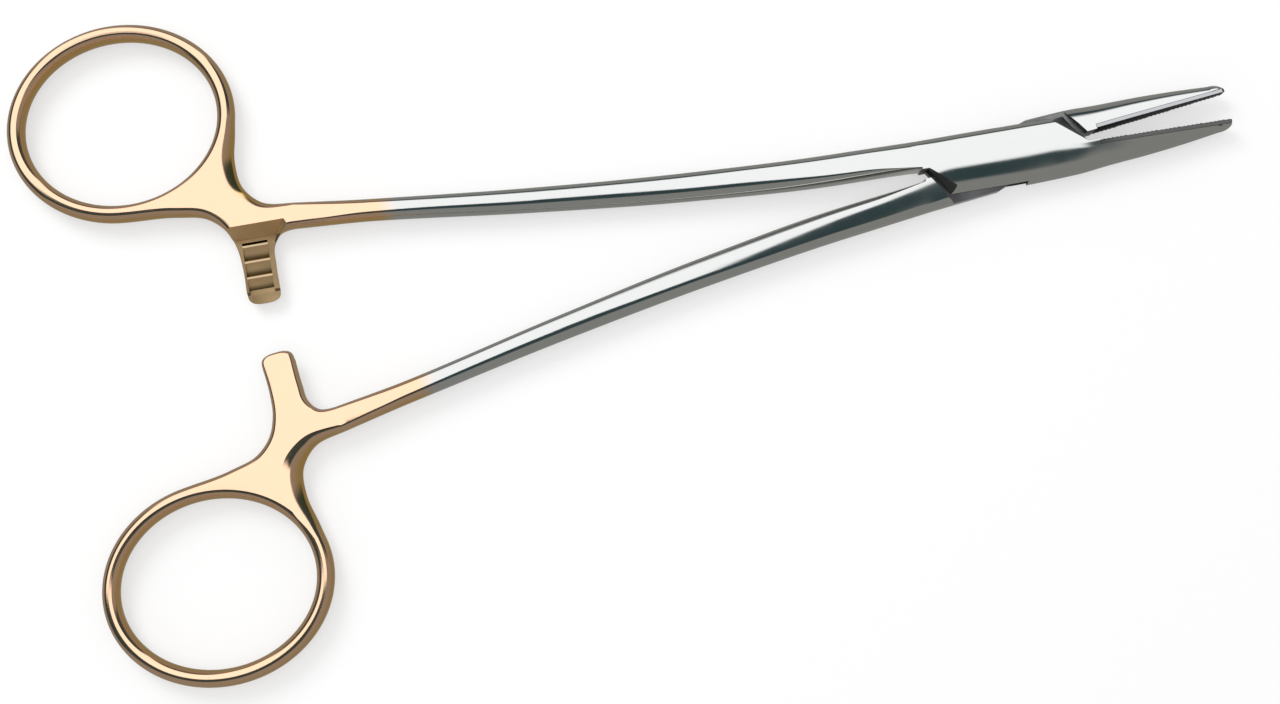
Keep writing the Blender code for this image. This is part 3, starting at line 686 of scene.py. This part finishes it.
def tongueCutter(name, sign):
    # thins the tongue arm between its shoulders
    outside = box["thickness"] / 2 + lock["margin"]
    jawApex = Vector((box["notchJaw"] + lock["notchGap"], 0))
    handleApex = Vector((box["notchHandle"] - lock["notchGap"], 0))
    beyond, up = lock["beyond"], Vector((0, lock["beyond"]))
    levels = []
    for z, angle in ((lock["tongueThickness"] / 2, lock["shoulderDeep"]), (outside, lock["shoulderTop"])):
        points = (handleApex + polar(angle + 180.0, beyond), handleApex, handleApex + up,
                  jawApex + polar(angle, beyond), jawApex, jawApex - up)
        levels.append((sign * z, points))
    return loftCutter(name, levels)


def tongueSideCutter(name, apex, y, turn):
    # tangent to the hub, then along the face that meets the other arm
    slope = math.degrees(math.asin(lock["hubRadius"] / abs(apex)))
    start, beyond, length = Vector((apex, y)), lock["beyond"], jaw["length"]
    points = (start, start + polar(slope + turn, beyond * 3),
              start + polar(90.0 + turn, beyond) - polar(turn, 2 * length - beyond * 3),
              start - polar(turn, length))
    return loftCutter(name, ((-box["thickness"], points), (box["thickness"], points)))


def seatCutter(name, side):
    back = jaw["faceGap"] / 2 + insert["thickness"] + insert["seatGap"]
    start, end = insert["start"] - insert["seatGap"], jaw["length"] + lock["beyond"]
    points = [(start, -side * back), (end, -side * back), (end, side * lock["beyond"]),
              (start, side * lock["beyond"])]
    return loftCutter(name, ((-box["thickness"], points), (box["thickness"], points)))


def barCutter(name, side, profile, left, right, slant):
    # a bar along x with the given outline: above the box arm's bar, below the tongue arm's
    meshData = bmesh.new()
    start = [meshData.verts.new((left * mm, side * y * mm, side * z * mm)) for y, z in profile]
    end = [meshData.verts.new(((right + abs(z) * slant) * mm, side * y * mm, side * z * mm))
           for y, z in profile]
    return closedObject(name, meshData, [start, end])


def ratchetCutters(name, side):
    # the recess over the whole bar, and the saw teeth between the bar's two rims
    high, level = forging["handleThickness"], -ratchet["gap"] / 2
    deep, soften = level - ratchet["depth"], ratchet["soften"]
    innerRoot = shankEdge(shank["stations"][0][0], -1)
    pastBar = -bar["reach"] - lock["margin"]
    lastRoot = ratchet["first"] - ratchet["pitch"] * ratchet["count"]
    endY, endLevel = lastRoot - ratchet["pitch"] * ratchet["endShare"], level - ratchet["endDrop"]
    recess = [(pastBar, high), (pastBar, endLevel), (endY, endLevel), (endY + ratchet["endDrop"], level),
              (ratchet["first"] - ratchet["rise"], level),
              (innerRoot + ratchet["slope"][0], level - ratchet["rootDrop"]),
              (innerRoot + ratchet["slope"][1], high / 2), (innerRoot + ratchet["slope"][1], high)]
    teeth = [(endY, high), (endY, endLevel)]
    for i in reversed(range(ratchet["count"])):
        root = ratchet["first"] - ratchet["pitch"] * i
        front, back = root - ratchet["rise"], root - ratchet["rise"] - ratchet["crest"]
        teeth += [(root - ratchet["pitch"] + ratchet["floor"], deep), (back, level - soften),
                  (back + soften, level), (front - soften, level), (front, level - soften), (root, deep)]
    teeth.append((ratchet["first"] + ratchet["floor"], high))
    left, right = bar["centre"] - bar["width"], bar["centre"] + bar["width"] / 2 + lock["margin"]
    return [barCutter(name + "Recess", side, recess, left, right, ratchet["slant"]),
            barCutter(name + "Teeth", side, teeth, *toothedPart(), 0.0)]


def applyCuts(thing, cutters, machined, operation="DIFFERENCE"):
    for cutter in cutters:
        wear(cutter, machined)
        modifier = thing.modifiers.new(cutter.name, "BOOLEAN")
        modifier.operation = operation
        modifier.solver = "EXACT"
        modifier.material_mode = "TRANSFER"
        modifier.object = cutter
    mesh = evaluatedMesh(thing)
    thing.modifiers.clear()
    thing.data = mesh
    for cutter in cutters:
        bpy.data.objects.remove(cutter)
    return thing


def placeInTool(thing, side):
    # from the closed drawing to the pose in the photograph
    turn = Matrix.Rotation(math.radians(-side * restOpening / 2), 4, "Z")
    thing.data.transform(Matrix.Translation(pivot) @ turn)


def roundShaded(thing):
    thing.data.shade_smooth()
    thing.data.set_sharp_from_angle(angle=math.radians(forging["smoothAngle"]))


def creaseFlats(thing):
    # along the handle the flat meets its rounded edge in a crisp line
    mesh = thing.data
    shankStart = shank["stations"][0][0] * mm
    tilts = {}
    for face in mesh.polygons:
        for key in face.edge_keys:
            tilts.setdefault(key, []).append(abs(face.normal.z))
    for edge in mesh.edges:
        flat = [tilt > forging["flatTilt"] for tilt in tilts[tuple(sorted(edge.vertices))]]
        if any(flat) and not all(flat) and mesh.vertices[edge.vertices[0]].co.x < shankStart:
            edge.use_edge_sharp = True


def keepForgedShading(thing, forged, polished):
    # faces left from the blank keep its normals, so that the cuts leave no marks in the reflections
    mesh = thing.data
    spots = [vert.co.copy() for vert in forged.vertices]
    corners = [tuple(face.vertices) for face in forged.polygons]
    normals = [[forged.corner_normals[i].vector.copy() for i in face.loop_indices]
               for face in forged.polygons]
    tree = BVHTree.FromPolygons(spots, corners)
    kept = [corner.vector.copy() for corner in mesh.corner_normals]
    for face in mesh.polygons:
        if mesh.materials[face.material_index] != polished:
            continue
        for i in face.loop_indices:
            spot = mesh.vertices[mesh.loops[i].vertex_index].co
            # looked up a little inside the face, on its own side of a crease
            found = tree.find_nearest(spot.lerp(face.center, 0.01))[2]
            shares = poly_3d_calc([spots[j] for j in corners[found]], spot)
            kept[i] = sum((n * share for n, share in zip(normals[found], shares)), Vector()).normalized()
    mesh.normals_split_custom_set(kept)


def cutArm(name, blank, side, machined, cutters):
    print("cutting", name)
    blank.name = name
    roundShaded(blank)
    creaseFlats(blank)
    forged, polished = blank.data.copy(), blank.data.materials[0]
    applyCuts(blank, cutters, machined)
    roundShaded(blank)
    keepForgedShading(blank, forged, polished)
    placeInTool(blank, side)
    print("   ", len(blank.data.polygons), "faces")
    return blank


boxBlank = forgedBlank("boxBlank", 1)
pinBlank = boxBlank.copy()
pinBlank.data = boxBlank.data.copy()
scene.collection.objects.link(pinBlank)
wear(boxBlank, boxFinish)
wear(pinBlank, pinFinish)
boxArm = cutArm("boxArmFinish", boxBlank, 1, boxMachined, [
    slotCutter(),
    cheekCutter("jawCheek", box["notchJaw"], -jaw["faceGap"] / 2, 0.0),
    cheekCutter("handleCheek", box["notchHandle"], 0.0, 180.0),
    seatCutter("lowerSeat", 1),
    *ratchetCutters("boxRatchet", 1),
    cylinder("boxBore", lock["pinRadius"] + lock["pinGap"]),
])
tongueBlank = forgedBlank("tongueBlank", -1)
wear(tongueBlank, tongueFinish)
tongueArm = cutArm("tongueArmFinish", tongueBlank, -1, tongueMachined, [
    tongueSideCutter("handleSide", box["notchHandle"], 0.0, 0.0),
    tongueSideCutter("jawSide", box["notchJaw"], jaw["faceGap"] / 2, 180.0),
    tongueCutter("aboveTongue", 1),
    tongueCutter("belowTongue", -1),
    seatCutter("upperSeat", -1),
    *ratchetCutters("tongueRatchet", -1),
    cylinder("tongueBore", lock["pinRadius"] + lock["runningGap"]),
])
pinBlank.name = "pinFinish"
pinCore = cylinder("pinCore", lock["pinRadius"])
roundShaded(pinBlank)
forgedPin = pinBlank.data.copy()
pin = applyCuts(pinBlank, [pinCore], pinFinish, "INTERSECT")
roundShaded(pin)
keepForgedShading(pin, forgedPin, pinFinish)
placeInTool(pin, 1)


# hard inserts: a plate let into each jaw, with pyramids set out by Geometry Nodes
def insertPlate(name, side):
    noseX, noseWidth = jawStations()[-1]
    front = jaw["faceGap"] / 2
    back = front + insert["thickness"]
    floor = front + insert["depth"]
    end = noseX + jaw["nose"] * math.sqrt(1 - (back / noseWidth) ** 2) - insert["endGap"]
    meshData = bmesh.new()
    flag = meshData.verts.layers.int.new("toothPoint")
    pitch, across = insert["pitch"], insert["rowsEachSide"]
    rows = []
    for x in stepsBetween(insert["start"], end, pitch):
        over = max(0.0, (x - jaw["length"]) / forging["jawEdge"][-1][1] + 1.0)
        reach = halfThickness(x) * math.sqrt(1 - over ** 2 * insert["noseRound"]) - insert["flush"]
        fall = valueAt(forging["drop"], x) * back / -lowerEdge(x)
        corners = ((floor, -reach), (floor, reach), (back, reach + fall), (back, -reach - fall))
        rows.append([meshData.verts.new((x * mm, -side * y * mm, z * mm)) for y, z in corners])
        i = len(rows) - 1
        if i == 0 or x >= end - pitch * insert["endClear"]:
            continue
        for j in range(-across, across + 1):
            z = j * pitch
            if abs(z) < reach - pitch * insert["sideClear"] and (i + j) % 2:
                tooth = meshData.verts.new((x * mm, -side * floor * mm, z * mm))
                tooth[flag] = 1
    return closedObject(name, meshData, rows)


def socketNamed(tree, name):
    return next(item.identifier for item in tree.interface.items_tree
                if item.item_type == "SOCKET" and item.in_out == "INPUT" and item.name == name)


def toothTree():
    tree = bpy.data.node_groups.new("insertTeeth", "GeometryNodeTree")
    tree.interface.new_socket("Geometry", in_out="INPUT", socket_type="NodeSocketGeometry")
    for name in ("Tooth radius", "Tooth height", "Turn"):
        tree.interface.new_socket(name, in_out="INPUT", socket_type="NodeSocketFloat")
    tree.interface.new_socket("Finish", in_out="INPUT", socket_type="NodeSocketMaterial")
    tree.interface.new_socket("Geometry", in_out="OUTPUT", socket_type="NodeSocketGeometry")
    nodes, links = tree.nodes, tree.links
    source, result = nodes.new("NodeGroupInput"), nodes.new("NodeGroupOutput")
    flag = setInputs(nodes.new("GeometryNodeInputNamedAttribute"), {"Name": "toothPoint"})
    flag.data_type = "INT"
    apart = nodes.new("GeometryNodeSeparateGeometry")
    cone = setInputs(nodes.new("GeometryNodeMeshCone"), {"Vertices": 4})
    tip = nodeMaths(tree)[0]("MULTIPLY", source.outputs["Tooth radius"], insert["toothTip"])
    links.new(source.outputs["Tooth radius"], cone.inputs["Radius Bottom"])
    links.new(tip, cone.inputs["Radius Top"])
    links.new(source.outputs["Tooth height"], cone.inputs["Depth"])
    turn = nodes.new("ShaderNodeCombineXYZ")
    links.new(source.outputs["Turn"], turn.inputs["X"])
    scatter = nodes.new("GeometryNodeInstanceOnPoints")
    join = nodes.new("GeometryNodeJoinGeometry")
    real = nodes.new("GeometryNodeRealizeInstances")
    dress = nodes.new("GeometryNodeSetMaterial")
    links.new(source.outputs["Geometry"], apart.inputs["Geometry"])
    links.new(flag.outputs["Attribute"], apart.inputs["Selection"])
    links.new(apart.outputs["Selection"], scatter.inputs["Points"])
    links.new(cone.outputs["Mesh"], scatter.inputs["Instance"])
    links.new(turn.outputs[0], scatter.inputs["Rotation"])
    links.new(scatter.outputs["Instances"], join.inputs["Geometry"])
    links.new(apart.outputs["Inverted"], join.inputs["Geometry"])
    links.new(join.outputs["Geometry"], real.inputs["Geometry"])
    links.new(real.outputs["Geometry"], dress.inputs["Geometry"])
    links.new(source.outputs["Finish"], dress.inputs["Material"])
    links.new(dress.outputs["Geometry"], result.inputs["Geometry"])
    return tree


def buildInsert(name, side, tree, carbide):
    print("setting teeth on", name)
    plate = insertPlate(name, side)
    modifier = plate.modifiers.new("teeth", "NODES")
    modifier.node_group = tree
    modifier[socketNamed(tree, "Tooth radius")] = insert["pitch"] * mm
    modifier[socketNamed(tree, "Tooth height")] = insert["depth"] * mm
    modifier[socketNamed(tree, "Turn")] = math.radians(-90.0 * side)
    modifier[socketNamed(tree, "Finish")] = carbide
    mesh = evaluatedMesh(plate)
    plate.modifiers.clear()
    plate.data = mesh
    placeInTool(plate, side)
    print("   ", len(mesh.polygons), "faces")
    return plate


teeth = toothTree()
lowerInsert = buildInsert("lowerInsertFinish", 1, teeth, lowerCarbide)
upperInsert = buildInsert("upperInsertFinish", -1, teeth, upperCarbide)
for thing, node, body, slot, material in (
    (boxArm, "box_arm", "box_side", "arm_steel", boxFinish),
    (tongueArm, "tongue_arm", "tongue_side", "arm_steel", tongueFinish),
    (pin, "pivot_pin", "box_side", "pin_steel", pinFinish),
    (lowerInsert, "lower_jaw_insert", "box_side", "carbide", lowerCarbide),
    (upperInsert, "upper_jaw_insert", "tongue_side", "carbide", upperCarbide),
):
    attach(thing, body)
    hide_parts(node)
    wear(frame["nodes"][node], material)        # the solid wears the same finish


# stage: pale floor, soft lamps and a dome that only the metal's reflections see
studio = {
    "floor": (0.88, 0.88, 0.88), "floorSize": 3.0, "floorWhite": 0.55, "floorRoughness": 0.9,
    "world": 0.62, "keyPower": 2.3, "keySize": 0.35, "keyPlace": (-0.28, 0.42, 0.5),
    "topPower": 1.38, "topSize": 0.7, "topPlace": (-0.05, -0.01, 0.7), "lampTarget": (-0.05, -0.015, 0),
    "domeRadius": 4.0, "domeWhite": (1.82, 1.84, 1.91), "domeGrey": (0.38, 0.38, 0.37),
    "domeBlack": (0.055, 0.09, 0.1),
    # where the bright panel and the grey room begin and end: degrees from straight up, in the picture's
    # own directions, and the height of the horizon's haze
    "panelTop": (-75.0, -60.0), "panelBottom": (1.0, 6.0), "panelLeft": (-50.0, -38.0),
    "panelRight": (22.0, 29.0), "roomRight": (17.0, 25.0), "roomUpper": (-22.0, -10.0),
    "roomBottom": (29.0, 38.0), "horizon": (0.0, 0.12),
}
camera = {"lens": 56.1, "place": (-59.2, -38.5, 262.0), "right": (0.97374, -0.22767, 0.0),
          "target": (-53.5, -14.1, 2.3)}


def seenDirectly(tree):
    # 1 for rays from the camera, off polished metal and through glass
    calc = nodeMaths(tree)[0]
    rays = tree.nodes.new("ShaderNodeLightPath")
    seen = calc("ADD", rays.outputs["Is Camera Ray"], rays.outputs["Is Glossy Ray"])
    return calc("MINIMUM", calc("ADD", seen, rays.outputs["Is Transmission Ray"]), 1.0)


def blendShaders(tree, share, first, second, output):
    mix = tree.nodes.new("ShaderNodeMixShader")
    for source, slot in zip((share, first.outputs[0], second.outputs[0]), mix.inputs):
        tree.links.new(source, slot)
    tree.links.new(mix.outputs[0], output.inputs["Surface"])


def whiteBackground():
    world = bpy.data.worlds.new("studioWorld")
    scene.world = world
    world.use_nodes = True
    tree = world.node_tree
    plain, white = tree.nodes["Background"], tree.nodes.new("ShaderNodeBackground")
    setInputs(plain, {"Strength": studio["world"], "Color": (1, 1, 1, 1)})
    setInputs(white, {"Strength": 1.0})
    blendShaders(tree, seenDirectly(tree), plain, white, tree.nodes["World Output"])


def paleFloor():
    meshData = bmesh.new()
    bmesh.ops.create_grid(meshData, x_segments=1, y_segments=1, size=studio["floorSize"] / 2)
    floor = meshObject("studioFloor", meshData)
    floor.visible_glossy = False
    material, tree, shader = newMaterial("floorPaper")
    setInputs(shader, {"Base Color": (*studio["floor"], 1), "Roughness": studio["floorRoughness"],
                       "Specular IOR Level": 0.0})
    share = nodeMaths(tree)[0]("MULTIPLY", seenDirectly(tree), studio["floorWhite"])
    glow = tree.nodes.new("ShaderNodeEmission")
    blendShaders(tree, share, shader, glow, tree.nodes["Material Output"])
    floor.data.materials.append(material)


def reflectionDome():
    # what the metal mirrors: a bright ceiling, a dark shape below its middle and grey towards the ground
    meshData = bmesh.new()
    bmesh.ops.create_uvsphere(meshData, u_segments=64, v_segments=32, radius=studio["domeRadius"])
    dome = meshObject("reflectionDome", meshData)
    dome.visible_camera = dome.visible_diffuse = dome.visible_shadow = False
    dome.visible_transmission = dome.visible_volume_scatter = False
    material = bpy.data.materials.new("domeLight")
    material.use_nodes = True
    tree = material.node_tree
    nodes, links = tree.nodes, tree.links
    nodes.clear()
    calc, ramp = nodeMaths(tree)

    def fades(value, name):
        return ramp(value, *studio[name])

    place = nodes.new("ShaderNodeTexCoord")
    # the picture's own right and top
    turn = math.atan2(-camera["right"][1], camera["right"][0])
    turned = setInputs(nodes.new("ShaderNodeMapping"), {"Rotation": (0, 0, turn)})
    unit = nodes.new("ShaderNodeVectorMath")
    unit.operation = "NORMALIZE"
    links.new(place.outputs["Object"], turned.inputs["Vector"])
    links.new(turned.outputs[0], unit.inputs[0])
    x, y, z = axesOf(tree, unit.outputs[0])
    right = calc("MULTIPLY", calc("ARCSINE", x), 180 / math.pi)
    below = calc("MULTIPLY", calc("ARCSINE", y), -180 / math.pi)
    panel = calc("MULTIPLY", fades(below, "panelTop"), calc("SUBTRACT", 1.0, fades(below, "panelBottom")))
    panel = calc("MULTIPLY", panel, fades(right, "panelLeft"))
    panel = calc("MULTIPLY", panel, calc("SUBTRACT", 1.0, fades(right, "panelRight")))
    beside = calc("MULTIPLY", fades(right, "roomRight"), fades(below, "roomUpper"))
    low = calc("SUBTRACT", 1.0, fades(z, "horizon"))
    room = calc("MAXIMUM", calc("MAXIMUM", beside, low), fades(below, "roomBottom"))
    panel = calc("MULTIPLY", panel, calc("SUBTRACT", 1.0, low))
    colour = mixColours(tree, room, studio["domeBlack"], studio["domeGrey"])
    colour = mixColours(tree, panel, colour, studio["domeWhite"])
    glow = nodes.new("ShaderNodeEmission")
    links.new(colour, glow.inputs["Color"])
    out = nodes.new("ShaderNodeOutputMaterial")
    links.new(glow.outputs[0], out.inputs["Surface"])
    dome.data.materials.append(material)


def softLamp(name, power, size, place):
    light = bpy.data.lights.new(name, "AREA")
    light.energy = power
    light.shape = "DISK"
    light.size = size
    lamp = bpy.data.objects.new(name, light)
    scene.collection.objects.link(lamp)
    lamp.location = place
    aim = Vector(studio["lampTarget"]) - Vector(place)
    lamp.rotation_euler = aim.to_track_quat("-Z", "Y").to_euler()
    lamp.visible_glossy = False


def photoCamera():
    data = bpy.data.cameras.new("photoCamera")
    data.lens = camera["lens"]
    data.clip_start = 0.01
    eye = bpy.data.objects.new("photoCamera", data)
    scene.collection.objects.link(eye)
    place, target = Vector(camera["place"]) * mm, Vector(camera["target"]) * mm
    back = (place - target).normalized()
    right = Vector(camera["right"])
    right = (right - back * right.dot(back)).normalized()
    up = back.cross(right)
    turn = Matrix((right, up, back)).transposed().to_4x4()
    eye.matrix_world = Matrix.Translation(place) @ turn
    scene.camera = eye


print("setting the stage")
whiteBackground()
paleFloor()
reflectionDome()
softLamp("keyLamp", studio["keyPower"], studio["keySize"], studio["keyPlace"])
softLamp("topLamp", studio["topPower"], studio["topSize"], studio["topPlace"])
photoCamera()
